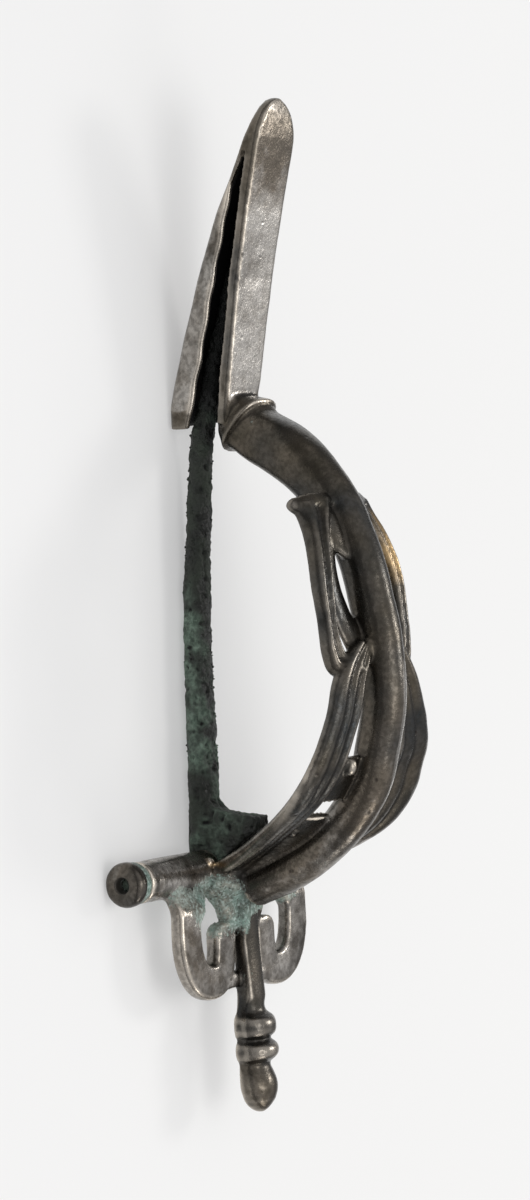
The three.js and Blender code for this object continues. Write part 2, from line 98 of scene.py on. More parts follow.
# The room: dim at the height of the table and bright from halfway up. The ramp's own end stops stay,
# black below the table and white overhead.
world = bpy.data.worlds.new("room")
world.use_nodes = True
room_nodes, room_links = world.node_tree.nodes, world.node_tree.links
room_place = room_nodes.new("ShaderNodeTexCoord")
room_height = room_nodes.new("ShaderNodeSeparateXYZ")
room_links.new(room_place.outputs["Generated"], room_height.inputs["Vector"])
room_tone = room_nodes.new("ShaderNodeValToRGB")
for position, tone in ((0.0, 0.24), (0.28, 0.30), (0.62, 1.0)):
    stop = room_tone.color_ramp.elements.new(position)
    stop.color = (tone, tone, tone * 1.02, 1)
room_links.new(room_height.outputs["Z"], room_tone.inputs["Fac"])
room_links.new(room_tone.outputs["Color"], room_nodes["Background"].inputs["Color"])
room_nodes["Background"].inputs["Strength"].default_value = 0.80
bpy.context.scene.world = world


class Finish:
    """A node material, with the few operations that every surface here is made of."""

    def __init__(self, name):
        self.material = bpy.data.materials.new(name)
        self.material.use_nodes = True
        self.nodes, self.links = self.material.node_tree.nodes, self.material.node_tree.links
        self.shader = self.nodes["Principled BSDF"]
        self.where = self.nodes.new("ShaderNodeTexCoord").outputs["Object"]

    def feed(self, value, socket):
        """Give a socket a number, a colour or what another socket puts out."""
        if isinstance(value, float):
            socket.default_value = value
        elif isinstance(value, tuple):
            socket.default_value = (*value, 1.0)
        else:
            self.links.new(value, socket)

    def give(self, name, value):
        self.feed(value, self.shader.inputs[name])

    def stored(self, name):
        """What is stored under this name on the points of the piece."""
        attribute = self.nodes.new("ShaderNodeAttribute")
        attribute.attribute_name = name
        return attribute.outputs["Fac"]

    def ranged(self, value, low, high, first=0.0, last=1.0):
        """A value from between low and high, moved to between first and last."""
        spread = self.nodes.new("ShaderNodeMapRange")
        for key, number in (("From Min", low), ("From Max", high), ("To Min", first), ("To Max", last)):
            spread.inputs[key].default_value = number
        self.links.new(value, spread.inputs["Value"])
        return spread.outputs["Result"]

    def cloudy(self, scale, detail, low, high):
        """Noise on the piece, spread between 0 and 1 from low to high."""
        texture = self.nodes.new("ShaderNodeTexNoise")
        texture.inputs["Scale"].default_value = scale
        texture.inputs["Detail"].default_value = detail
        self.links.new(self.where, texture.inputs["Vector"])
        return self.ranged(texture.outputs["Fac"], low, high)

    def blended(self, share, first, second):
        """Colour between first and second."""
        mix = self.nodes.new("ShaderNodeMix")
        mix.data_type = "RGBA"
        self.links.new(share, mix.inputs["Factor"])
        for socket, value in zip([i for i in mix.inputs if i.type == "RGBA"], (first, second)):
            self.feed(value, socket)
        return [o for o in mix.outputs if o.type == "RGBA"][0]

    def combined(self, kind, first, second, clamped=True):
        node = self.nodes.new("ShaderNodeMath")
        node.operation = kind
        node.use_clamp = clamped
        for socket, value in zip(node.inputs, (first, second)):
            self.feed(value, socket)
        return node.outputs["Value"]

    def plus(self, first, second):
        return self.combined("ADD", first, second)

    def minus(self, first, second):
        return self.combined("SUBTRACT", first, second)

    def times(self, first, second):
        return self.combined("MULTIPLY", first, second)

    def bumpy(self, relief, strength, depth):
        """Fine relief that only shades the surface."""
        bump = self.nodes.new("ShaderNodeBump")
        bump.inputs["Strength"].default_value = strength
        bump.inputs["Distance"].default_value = depth
        self.links.new(relief, bump.inputs["Height"])
        self.give("Normal", bump.outputs["Normal"])


# The table: pale paper that glows a little, as a sheet lit from below does, so that the brooch's
# shadow on it stays light.
paper = Finish("pale_table")
paper_tone = paper.cloudy(3.0, 2.0, 0.35, 0.65)
paper.give("Base Color", paper.blended(paper_tone, (0.47, 0.47, 0.465), (0.50, 0.50, 0.50)))
paper.give("Emission Color", (1.0, 1.0, 1.0))
paper.give("Emission Strength", 0.38)
paper.give("Roughness", 0.85)
TABLE_HALF = 2
table_mesh = bpy.data.meshes.new("table_top")
table_corners = [(x * TABLE_HALF, y * TABLE_HALF, 0) for x, y in ((-1, -1), (1, -1), (1, 1), (-1, 1))]
table_mesh.from_pydata(table_corners, [], [(0, 1, 2, 3)])
table_mesh.materials.append(paper.material)
table_top = bpy.data.objects.new("table_top", table_mesh)
bpy.context.scene.collection.objects.link(table_top)

# The bow: one thick bar from the foot up over the cloth and down to the crossbar. It is stout and
# nearly square next to the foot, then round, and thinner from the knee on. All the silver was cast
# in one piece, so its parts are skins that run into each other and are then fused.
BAND_WIDTH = 4.8
BOW_PATH = [
    (41.0, 0, 5.6), (39.6, 0, 5.9), (38.3, 0, 6.5), (37.2, 0, 7.9), (35.9, 0, 10.2), (34.2, 0, 12.4),
    (32.0, 0, 14.35), (29.8, 0, 15.9), (26.3, 0, 17.4), (22.9, 0, 18.2), (19.4, 0, 18.9), (14.5, 0, 19.1),
    (10.7, 0, 18.3), (6.9, 0, 17.0), (3.0, 0, 13.7), (0.1, 0, 9.5), (-1.7, 0, 5.3),
]
silver_skins = []


def placed(rows):
    """Points in the brooch's frame from rows of length from the hinge, near side and height."""
    rows = np.asarray(rows, float)
    return np.stack([HINGE[0] - rows[..., 0], -rows[..., 1], rows[..., 2]], -1)


def smooth_line(points, count):
    """Count points on a smooth line through the given ones."""
    points = np.asarray(points, float)
    padded = np.vstack([2 * points[0] - points[1], points, 2 * points[-1] - points[-2]])
    t = np.linspace(0, len(points) - 1, count)
    i = np.minimum(t.astype(int), len(points) - 2)
    f = (t - i)[:, None]
    a, b, c, d = padded[i], padded[i + 1], padded[i + 2], padded[i + 3]
    return 0.5 * (2 * b + (c - a) * f + (2 * a - 5 * b + 4 * c - d) * f**2 + (3 * b - a - 3 * c + d) * f**3)


def unit(v):
    return v / np.maximum(np.linalg.norm(v, axis=-1, keepdims=True), 1e-9)


def skin(rings):
    """Points and faces of a closed skin over rings of equal size."""
    rings = np.asarray(rings, float)
    rows, count = rings.shape[:2]
    faces = []
    for i in range(rows - 1):
        for j in range(count):
            k = (j + 1) % count
            faces.append((i * count + j, i * count + k, (i + 1) * count + k, (i + 1) * count + j))
    faces.append(tuple(reversed(range(count))))
    faces.append(tuple((rows - 1) * count + j for j in range(count)))
    return rings.reshape(-1, 3), faces


def squared(value, power):
    """Cosine or sine bent towards a rectangle's, as power goes from 2 to 4."""
    return np.sign(value) * np.abs(value) ** (2 / power)


def oval_bar(path, widths, depths, powers, count=120, sides=36):
    """Bar along a path in the brooch's middle plane, with a section from oval to nearly square."""
    line = smooth_line(placed(path), count)
    along = unit(np.gradient(line, axis=0))
    across = np.tile([0.0, 1.0, 0.0], (count, 1))
    out = unit(np.cross(across, along))
    t = np.linspace(0, 1, count)
    wide = np.interp(t, *np.array(widths).T) / 2
    deep = np.interp(t, *np.array(depths).T) / 2
    power = np.interp(t, *np.array(powers).T)[:, None]
    turn = np.linspace(0, 2 * np.pi, sides, endpoint=False)[None, :]
    return skin(
        line[:, None]
        + across[:, None] * (squared(np.cos(turn), power) * wide[:, None])[:, :, None]
        + out[:, None] * (squared(np.sin(turn), power) * deep[:, None])[:, :, None]
    )


silver_skins.append(
    oval_bar(
        BOW_PATH,
        [(0, 4.8), (0.12, 4.7), (0.25, 4.8), (0.38, 4.2), (0.46, 3.75), (0.85, 3.75), (1, 4.1)],
        [(0, 1.2), (0.06, 2.9), (0.12, 4.3), (0.25, 4.8), (0.38, 4.55), (0.46, 3.9), (0.85, 3.75), (1, 3.4)],
        [(0, 4), (0.2, 3), (0.34, 2.1), (1, 2.1)],
    )
)

# The ridge where the foot meets the bow: a ring that slopes up from the foot to its crest, with a
# narrow groove and a small bead behind it. It stands square to the steep part of the bow.
RIDGE_POWER = 2.5
ridge_line = smooth_line(placed(BOW_PATH), 160)
ridge_place, beyond = ridge_line[21], ridge_line[25]
ridge_axis = unit(beyond - ridge_place)
ridge_side = np.array([0.0, 1.0, 0.0])
ridge_out = unit(np.cross(ridge_side, ridge_axis))
ridge_turn = np.linspace(0, 2 * np.pi, 36, endpoint=False)
ridge_rings = []
for along, grown in (
    (-1.7, 0.72), (-1.4, 0.9), (-1.0, 0.99), (-0.6, 1.07), (-0.25, 1.15), (0.0, 1.2), (0.12, 1.2),
    (0.24, 1.06), (0.4, 0.97), (0.5, 1.02), (0.62, 1.03), (0.75, 0.97), (1.0, 0.9),
):
    spread = squared(np.cos(ridge_turn), RIDGE_POWER)[:, None] * ridge_side * BAND_WIDTH / 2 * grown
    spread = spread + squared(np.sin(ridge_turn), RIDGE_POWER)[:, None] * ridge_out * BAND_WIDTH / 2 * grown
    ridge_rings.append(ridge_place + ridge_axis * along + spread)
silver_skins.append(skin(ridge_rings))

# The openwork straps: on each side of the bow a ribbed trumpet strap opens towards the foot, turns
# back on itself, and a second ribbed strap runs from there down to the crossbar. Both were modelled
# in wax, so their ribs are round and their edges soft.
STRAP_THICKNESS = 1.35


def ribbed(ribs, count=30):
    """Closed section of a strap with round ribs on top, as shares of its width and height."""
    share = np.linspace(0, 1, count)
    body = np.sqrt(np.maximum(0, 1 - np.abs(2 * share - 1) ** 4))
    top = 0.3 * body
    for centre, width, rise in ribs:
        near_rib = np.clip(np.abs(share - centre) / width, 0, 1)
        top = np.maximum(top, (0.12 + rise * np.cos(near_rib * np.pi / 2) ** 0.8) * body**0.3)
    bottom = -0.38 * body
    over = np.stack([share, top], 1)
    under = np.stack([share, bottom], 1)[::-1][1:-1]
    return np.vstack([over, under])


def strap(inner, outer, thickness, section, count=90):
    """Skin between two rails, with the section's height along the outward side."""
    inside, outside = smooth_line(placed(inner), count), smooth_line(placed(outer), count)
    across = outside - inside
    along = unit(np.gradient(inside, axis=0)) + unit(np.gradient(outside, axis=0))
    out = unit(np.cross(along, across))
    outwards = np.array([0.35, 0.0, 1.0])
    turned = np.cumprod(np.where((out[1:] * out[:-1]).sum(1) < 0, -1, 1))
    out = out * np.concatenate([[1], turned])[:, None]
    if (out * outwards).sum(1).mean() < 0:
        out = -out
    return skin(
        inside[:, None]
        + across[:, None] * section[None, :, :1]
        + out[:, None] * section[None, :, 1:] * thickness
    )


FAR_TRUMPET_SHARE = 0.82


def both_sides(inner, outer, thickness, section, count=90, far_share=1.0):
    """The same strap on the near side and on the far side, where it may stand closer to the bow."""
    other = np.array([1, -far_share, 1])
    near = strap(inner, outer, thickness, section, count)
    far = strap(np.array(inner) * other, np.array(outer) * other, thickness, section, count)
    return [near, far]


TWO_RIBS = ribbed([(0.2, 0.24, 0.42), (0.7, 0.34, 0.55)])
THREE_RIBS = ribbed([(0.13, 0.16, 0.42), (0.42, 0.2, 0.4), (0.78, 0.27, 0.52)], 40)
PLAIN = ribbed([(0.5, 0.6, 0.3)])
WEB_THICKNESS = 0.85
TAIL_THICKNESS = 0.95
trumpet_outer = [
    (31, 6.1, 14.5), (29.8, 6.0, 15.1), (28, 6.5, 16.0), (26, 7.1, 16.7), (24, 7.4, 17.1),
    (21.5, 7.2, 17.4), (19, 7.1, 17.6), (17.2, 6.5, 17.8), (16.5, 5.0, 18.1), (16.9, 3.2, 18.6),
]
trumpet_inner = [
    (31.5, 1.9, 15.6), (30.2, 2.8, 16.1), (28.2, 4.1, 16.8), (26, 4.9, 17.3), (24, 5.3, 17.6),
    (21.8, 5.4, 17.8), (20, 5.3, 18.0), (18.8, 4.8, 18.2), (18.3, 4.1, 18.4), (18.3, 3.1, 18.7),
]
silver_skins += both_sides(
    trumpet_inner, trumpet_outer, STRAP_THICKNESS, TWO_RIBS, far_share=FAR_TRUMPET_SHARE
)
lip_inner = [(31.85, 1.8, 15.25), (31.55, 1.65, 15.5), (31.3, 1.65, 15.7), (31.0, 1.8, 15.85)]
lip_outer = [(31.4, 6.15, 14.1), (31.15, 6.45, 14.3), (30.9, 6.45, 14.5), (30.6, 6.2, 14.7)]
silver_skins += both_sides(lip_inner, lip_outer, STRAP_THICKNESS * 1.4, PLAIN, 16, FAR_TRUMPET_SHARE)
return_outer = [
    (28.4, 4.3, 16.4), (26.2, 4.9, 16.8), (24, 5.1, 17.1), (21.8, 4.8, 17.3), (20.2, 4.3, 17.6),
    (18.8, 3.8, 18.0), (17.6, 3.6, 18.3),
]
return_inner = [
    (28.4, 2.6, 16.3), (26.2, 3.0, 16.5), (24, 2.8, 16.8), (22.2, 2.2, 17.2), (21.2, 1.8, 17.6),
    (20.3, 1.3, 18.0), (18.8, 1.2, 18.5), (17.6, 1.2, 18.6),
]
silver_skins += both_sides(return_inner, return_outer, TAIL_THICKNESS, PLAIN, 60)
throat_outer = [(31.3, 3.5, 15.2), (29.5, 3.9, 16.1), (27.6, 3.6, 16.6), (26.4, 1.9, 16.9)]
throat_inner = [(31.3, 1.2, 15.4), (29.5, 1.2, 16.3), (27.6, 1.2, 17.0), (26.0, 1.2, 17.3)]
silver_skins += both_sides(throat_inner, throat_outer, TAIL_THICKNESS, PLAIN, 24)
lower_outer = [
    (19.6, 3.0, 18.3), (18.6, 4.9, 18.4), (17.3, 6.4, 18.5), (15.8, 7.3, 18.5), (14, 7.8, 18.4),
    (12.3, 8.4, 18.1), (10.4, 9.0, 17.6), (8.6, 9.4, 16.8), (6.8, 9.3, 15.4), (5.0, 8.4, 13.1),
    (3.5, 6.8, 10.3), (2.0, 4.8, 7.1), (0.9, 3.9, 4.6), (0.3, 3.8, 2.8),
]
lower_inner = [
    (18.9, 1.5, 18.7), (17.6, 2.2, 18.8), (16.2, 2.9, 18.8), (14.6, 3.4, 18.8), (13, 3.9, 18.6),
    (11.6, 4.4, 18.3), (10, 4.7, 17.8), (8.4, 4.8, 16.9), (6.9, 4.7, 15.6), (5.3, 4.2, 13.5),
    (3.8, 3.4, 11.1), (2.2, 2.4, 8.3), (0.7, 1.8, 5.8), (-0.4, 1.6, 4.4),
]
silver_skins.append(strap(lower_inner, lower_outer, STRAP_THICKNESS, THREE_RIBS, 110))


def far_lower(rows, share):
    """The far strap keeps closer to the bow at its start and comes down steeper at the head."""
    moved = []
    for length, side, height in rows:
        start = min(1.0, max(0.0, (length - 11.0) / 6.0))
        fall = math.sin(math.pi * min(1.0, max(0.0, (length + 1.2) / 9.2)))
        away = -share * side * (1 - 0.2 * start) - 0.6 * fall
        moved.append((length - 1.5 * fall, away, height + 1.0 * fall))
    return moved


silver_skins.append(
    strap(far_lower(lower_inner, 0.6), far_lower(lower_outer, 1.0), STRAP_THICKNESS, THREE_RIBS, 110)
)
bridge_outer = [(9.9, 5.0, 17.4), (8.2, 5.1, 16.5), (6.3, 4.9, 14.9)]
bridge_inner = [(9.9, 1.2, 17.6), (8.2, 1.2, 16.9), (6.3, 1.2, 15.8)]
silver_skins += both_sides(bridge_inner, bridge_outer, WEB_THICKNESS, PLAIN, 24)
head_outer = [(4.9, 4.2, 12.9), (3.2, 3.4, 10.1), (1.6, 2.6, 7.0), (0.2, 2.4, 4.6)]
head_inner = [(4.9, 1.2, 14.4), (2.8, 1.0, 12.2), (0.6, 0.8, 8.6), (-0.6, 0.8, 6.0)]
silver_skins += both_sides(head_inner, head_outer, WEB_THICKNESS, PLAIN, 30)


def pellet(centre, radii, count=14):
    """Small rounded lump of wax pressed on, as a closed skin."""
    rings = []
    middle = placed(centre)
    for tilt in np.linspace(-np.pi / 2 + 0.12, np.pi / 2 - 0.12, count):
        turn = np.linspace(0, 2 * np.pi, 18, endpoint=False)
        flat = np.stack([np.cos(turn), np.sin(turn), np.zeros_like(turn)], 1) * np.cos(tilt)
        rings.append(middle + (flat + np.array([0, 0, np.sin(tilt)])) * np.array(radii))
    return skin(rings)


for sign in (1, -1):
    silver_skins.append(pellet((9.1, 3.3 * sign, 17.4), (0.85, 0.7, 0.7)))
    silver_skins.append(pellet((18.8, 1.7 * sign, 18.9), (1.1, 0.8, 0.5)))
    silver_skins.append(pellet((3.6, 3.1 * sign, 11.4), (0.6, 0.6, 0.5)))

# The foot: a flat-topped bar with filed edges that widens to a rounded tip, and under it the sheath
# for the pin, hammered round from the far side to a lip that stops short of the bar.
FOOT_TIP = 65.8
SHEATH_MOUTH = 38.6
SHEATH_END = 65.2
SHEATH_WALL = 0.62
SHEATH_BEND = 0.9
SHEATH_LIP_REACH = 0.6
BAR_START = 39.2
BAR_ROUNDS_FROM = 62
BAR_THICKNESS = 1.1
BAR_SLANT = 0.9
BAR_TOPS = [(39, 6.2), (43.7, 7.0), (50.7, 8.2), (56.9, 9.5), (62.4, 10.8), (65.8, 11.5)]
FLOORS = [
    (38.6, 0), (40.2, 0.0), (45.9, 1.8), (50.8, 3.5), (56.4, 5.8), (60.5, 8.2), (63.1, 9.5), (65.2, 10.4),
]
RIMS = [(38.4, 2.0), (43.8, 3.7), (50.7, 5.5), (54.6, 6.7), (58.6, 7.8), (62, 9.2), (65.2, 10.5)]


def read(rows, length):
    return float(np.interp(length, *np.array(rows, float).T))


def foot_half(length):
    flare = 2.75 + 0.55 * (length - SHEATH_MOUTH) / (FOOT_TIP - SHEATH_MOUTH)
    past = max(0.0, (length - (FOOT_TIP - 4.2)) / 4.2)
    return flare * math.sqrt(max(0.004, 1 - past * past))


bar_rings = []
rounding = (FOOT_TIP - BAR_ROUNDS_FROM) * np.sin(np.linspace(0.05, np.pi / 2, 24))
for length in list(np.linspace(BAR_START, BAR_ROUNDS_FROM, 60)) + list(BAR_ROUNDS_FROM + rounding):
    half = foot_half(length)
    top = read(BAR_TOPS, length) - 0.5 * (1 - half / foot_half(60))
    chamfer = min(0.34, half * 0.3)
    low = top - BAR_THICKNESS * min(1, 0.5 + half / 5.5)
    slant = BAR_SLANT * min(1.0, max(0.0, (42.2 - length) / 2.4))
    section = [
        (half, low), (half, top - 0.34), (half - chamfer, top - 0.02), (half - chamfer - 0.25, top - 0.05),
        (0, top - 0.02), (-half + 2.2 * chamfer, top), (-half + 0.1, top - 0.42), (-half, top - 0.6),
        (-half, low), (0, low - 0.02),
    ]
    bar_rings.append(placed([(length - slant * side / half, side, height) for side, height in section]))
silver_skins.append(skin(bar_rings))

sheath_rings = []
for length in np.linspace(SHEATH_MOUTH, SHEATH_END, 90):
    half = foot_half(length) - 0.02
    floor = read(FLOORS, length)
    roof = max(read(BAR_TOPS, length) - 0.7, floor + 0.2)
    wall = min(SHEATH_WALL, (roof - floor) * 0.45)
    bend = min(SHEATH_BEND, (roof - floor) * 0.4, half * 0.4)
    rim = max(read(RIMS, length) + 0.06 * math.sin(length * 1.9), floor + wall + 0.05)
    inside = max(0.05, bend - wall)
    corner = np.linspace(0, np.pi / 2, 5)
    section = [(-half, roof)]
    section += [(-half + bend * (1 - math.cos(a)), floor + bend * (1 - math.sin(a))) for a in corner]
    section += [(half - bend * (1 - math.sin(a)), floor + bend * (1 - math.cos(a))) for a in corner]
    section += [(half, rim - 0.15), (half - wall * 0.3, rim)]
    section += [(half - wall * 0.75, rim), (half - wall, rim - 0.12)]
    far_in, near_in = -half + wall, half - wall
    bed = floor + wall
    section += [(near_in - inside * (1 - math.cos(a)), bed + inside * (1 - math.sin(a))) for a in corner]
    section += [(far_in + inside * (1 - math.sin(a)), bed + inside * (1 - math.cos(a))) for a in corner]
    section += [(far_in, roof)]
    lip = SHEATH_LIP_REACH * min(1.0, max(0.0, (41.5 - length) / 2.9))
    sheath_rings.append(
        placed([(length - lip * max(0, side / half), side, height) for side, height in section])
    )
silver_skins.append(skin(sheath_rings))

# The crossbar: a round tube across the head end, lightly ringed near each cap, with a saddle where
# the bow, the straps and the head plate all run into it.
TUBE_RADIUS = 1.8
TUBE_HALF = [
    (0, 1), (5, 1), (8, 1), (11.5, 1), (11.75, 0.955), (12.0, 0.955), (12.3, 0.985), (12.75, 0.985),
    (12.95, 0.93),
]
tube_turn = np.linspace(0, 2 * np.pi, 40, endpoint=False)
tube_rings = []
for away, share in [(-away, share) for away, share in TUBE_HALF[:0:-1]] + TUBE_HALF:
    ring = np.stack([np.cos(tube_turn), np.zeros(40), np.sin(tube_turn)], 1) * TUBE_RADIUS * share
    tube_rings.append(HINGE + np.array([0, -away, 0]) + ring)
silver_skins.append(skin(tube_rings))

saddle_outline = [
    (1.2, 2.8), (0.8, 4.6), (-0.2, 5.6), (-1.6, 5.9), (-3.0, 4.8), (-3.0, 3.3), (-1.2, 1.1), (0, 0.9),
]
saddle_rings = []
for away, share in ((-4.3, 0.55), (-3.6, 0.72), (-2.6, 0.9), (0, 0.92), (2.6, 0.9), (3.6, 0.72), (4.3, 0.55)):
    rows = [(length * share, away, HINGE[2] + (height - HINGE[2]) * share) for length, height in saddle_outline]
    saddle_rings.append(placed(rows))
silver_skins.append(skin(saddle_rings))
KNOB = (0.9, 4.2, 3.5)
silver_skins.append(pellet(KNOB, (0.45, 0.45, 0.4)))

# The head plate: a flat openwork crescent below the crossbar. Each arm comes down, turns in and
# curls up beside the middle stem, and the stem ends in two rings and a bud, flat underneath.
PLATE_TOP = 4.3
PLATE_THICKNESS = 1.35
PLATE_REACH = 8.3


def flat_band(points, widths, count):
    """Band of changing width that lies in the plate, with softly rounded edges."""
    line = smooth_line(placed([(length, away, 0) for away, length in points]), count)
    across = unit(np.cross(np.array([0.0, 0.0, 1.0]), unit(np.gradient(line, axis=0))))
    wide = np.interp(np.linspace(0, 1, count), *np.array(widths, float).T) / 2
    rings = []
    edge = 0.22
    for p, a, w in zip(line, across, wide):
        section = [
            (1, -1 + edge), (1, -edge), (1 - edge / max(w, 0.3), 0), (0, 0.06), (-1 + edge / max(w, 0.3), 0),
            (-1, -edge), (-1, -1 + edge), (-1 + edge / max(w, 0.3), -1), (1 - edge / max(w, 0.3), -1),
        ]
        droop = 0.95 * min(1.0, max(0.0, (p[0] - HINGE[0] - 2.9) / -1.9))
        top = PLATE_TOP - droop
        rings.append([p + a * w * s + np.array([0, 0, top + h * PLATE_THICKNESS]) for s, h in section])
    return skin(rings)


arm_line = [
    (PLATE_REACH - inwards, length)
    for inwards, length in (
        (0.1, 0.2), (0, -2.6), (0, -5.6), (0.5, -7.6), (1.6, -8.9), (3.2, -9.35), (4.6, -8.9), (5.1, -7.4),
        (5.2, -5.9), (5.2, -5.2), (5.2, -4.5),
    )
]
arm_widths = [(0, 3.1), (0.5, 3.0), (0.86, 2.9), (0.92, 2.7), (0.96, 2.2), (0.985, 1.6), (1, 0.8)]
for sign in (1, -1):
    for line, widths, count in (
        (arm_line, arm_widths, 60),
        ([(0.6, -9.6), (2.6, -9.45), (5.0, -9.3)], [(0, 1.1), (0.5, 1.7), (1, 2.2)], 16),
        ([(6.4, -0.6), (6.6, -2.4), (7.2, -4.3)], [(0, 4.4), (0.5, 1.9), (1, 0.5)], 24),
        ([(2.3, -0.6), (1.9, -2.6), (1.4, -5.2)], [(0, 4.6), (0.45, 3.0), (0.8, 2.0), (1, 0.9)], 24),
    ):
        silver_skins.append(flat_band([(away * sign, length) for away, length in line], widths, count))

STEM_ROWS = [
    (0, 1, -0.3), (-6, 1, -0.15), (-9, 0.97, 0.1), (-11.2, 1, 0.28), (-12.0, 1.12, 0.33), (-12.5, 1.25, 0.38),
    (-12.75, 1.5, 0.75), (-13.0, 1.66, 1.1), (-13.4, 1.72, 1.3), (-14.1, 1.72, 1.3), (-14.45, 1.64, 1.1),
    (-14.7, 1.5, 0.75), (-14.85, 1.36, 0.5), (-15.0, 1.4, 0.6), (-15.15, 1.6, 1.05), (-15.4, 1.7, 1.4),
    (-15.8, 1.73, 1.5), (-16.2, 1.7, 1.45), (-16.5, 1.6, 1.15), (-16.75, 1.4, 0.8), (-16.95, 1.26, 0.62),
    (-17.3, 1.3, 0.7), (-17.8, 1.43, 0.95), (-18.4, 1.53, 1.2), (-18.9, 1.55, 1.3), (-19.5, 1.48, 1.27),
    (-20.1, 1.28, 1.1), (-20.6, 0.95, 0.8), (-20.95, 0.6, 0.5), (-21.2, 0.2, 0.15),
]
UNDERSIDE = [(-21.2, 1.1), (-20.5, 0.75), (-17, 0.35), (-12, 0.2), (-6, 0)]
STEM_HALF_WIDTH = 1.25
STEM_TOP = 5.1
STEM_LOW = 3.5
TERMINAL_START = -12
stem_rings = []
for length, share, rise in STEM_ROWS:
    wide, top = STEM_HALF_WIDTH * share, STEM_TOP + rise
    low = STEM_LOW + read(UNDERSIDE, length)
    round_top = 0.18 if length > TERMINAL_START else 0.62
    section = [(-0.9, 0), (-1, 0.12)]
    for a in np.linspace(0, np.pi, 15):
        section.append((-math.cos(a), 1 - round_top + round_top * math.sin(a)))
    section += [(1, 0.12), (0.9, 0)]
    stem_rings.append(placed([(length, wide * s, low + (top - low) * h) for s, h in section]))
silver_skins.append(skin(stem_rings))

# The finished casting: the skins are fused to one solid, softened as wax and wear leave it, and
# slotted for the pin's head. Small hand-made unevenness is in the surface itself.
FUSE_STEP, FUSE_STEP_QUICK = 0.165, 0.3
MOST_TRIANGLES = 185000
PIN_SIDE = 1.5
SLOT_WIDTH = 2.8
SLOT_REACH = 6.0
SLOT_TOP = 5.4
SLOT_BELOW = 0.6
SLOT_RADIUS = 2.05


def new_piece(name, points, faces):
    """A mesh object at the origin, from points in millimetres."""
    mesh = bpy.data.meshes.new(name)
    mesh.from_pydata((np.asarray(points) * MM).tolist(), [], faces)
    mesh.validate()
    piece = bpy.data.objects.new(name, mesh)
    bpy.context.scene.collection.objects.link(piece)
    return piece


def joined(skins):
    points, faces, start = [], [], 0
    for skin_points, skin_faces in skins:
        points.append(skin_points)
        faces += [tuple(i + start for i in face) for face in skin_faces]
        start += len(skin_points)
    return np.vstack(points), faces


def made_real(piece):
    """The piece's own mesh, replaced by the result of its modifiers."""
    shown = piece.evaluated_get(bpy.context.evaluated_depsgraph_get())
    mesh = bpy.data.meshes.new_from_object(shown)
    piece.modifiers.clear()
    piece.data = mesh


def faces_out(piece):
    """Join points that coincide, and turn every face outwards."""
    work = bmesh.new()
    work.from_mesh(piece.data)
    bmesh.ops.remove_doubles(work, verts=work.verts, dist=1e-7)
    bmesh.ops.recalc_face_normals(work, faces=work.faces)
    work.to_mesh(piece.data)
    work.free()


def fused(piece, step, smoothing):
    """Overlapping skins become one closed surface."""
    remesh = piece.modifiers.new("fuse", "REMESH")
    remesh.mode = "VOXEL"
    remesh.voxel_size = step * MM
    soften = piece.modifiers.new("soften", "SMOOTH")
    soften.factor = 0.5
    soften.iterations = smoothing
    made_real(piece)


def cut_out(piece, rings):
    """Take the closed skin over these rings out of the piece."""
    cutter = new_piece("cutter", *skin(rings))
    faces_out(cutter)
    cut = piece.modifiers.new("cut", "BOOLEAN")
    cut.operation = "DIFFERENCE"
    cut.solver = "EXACT"
    cut.object = cutter
    made_real(piece)
    bpy.data.objects.remove(cutter)


def points_of(mesh):
    """Every point's place in metres, and its normal."""
    places, normals = np.zeros((2, len(mesh.vertices) * 3))
    mesh.vertices.foreach_get("co", places)
    mesh.vertices.foreach_get("normal", normals)
    return places.reshape(-1, 3), normals.reshape(-1, 3)


def uneven(piece, heights):
    """Move every point along its normal by heights(place in millimetres)."""
    places, normals = points_of(piece.data)
    lift = np.array([heights(Vector(p)) for p in places / MM]) * MM
    piece.data.vertices.foreach_set("co", (places + normals * lift[:, None]).ravel())
    piece.data.update()


casting = new_piece("cast_silver", *joined(silver_skins))
faces_out(casting)
fused(casting, FUSE_STEP, 3)
slot_outline = [(SLOT_REACH, -SLOT_BELOW), (SLOT_REACH, SLOT_TOP), (0.9, SLOT_TOP), (0.9, 3.9)]
slot_outline += [
    (SLOT_RADIUS * math.cos(a), HINGE[2] + SLOT_RADIUS * math.sin(a))
    for a in np.linspace(1.1, math.pi * 1.27, 14)
]
slot_outline += [(-1.6, -SLOT_BELOW)]
slot_sides = (PIN_SIDE - SLOT_WIDTH / 2, PIN_SIDE + SLOT_WIDTH / 2)
cut_out(casting, [placed([(length, away, height) for length, height in slot_outline]) for away in slot_sides])


def casting_unevenness(place):
    slow = noise.noise(place * 0.22) * 0.05
    quick = noise.noise(place * 0.9 + Vector((7, 3, 1))) * 0.018
    return slow + quick


uneven(casting, casting_unevenness)
thin = casting.modifiers.new("thin", "DECIMATE")
thin.ratio = min(1.0, MOST_TRIANGLES / max(1, sum(len(f.vertices) - 2 for f in casting.data.polygons)))
made_real(casting)


def marked(piece, name, amount):
    """Store amount(place in millimetres, normal) between 0 and 1 on every point of a piece."""
    mesh = piece.data
    layer = mesh.attributes.new(name, "FLOAT", "POINT")
    values = [amount(v.co / MM, v.normal) for v in mesh.vertices]
    layer.data.foreach_set("value", np.clip(values, 0, 1).astype(np.float32))


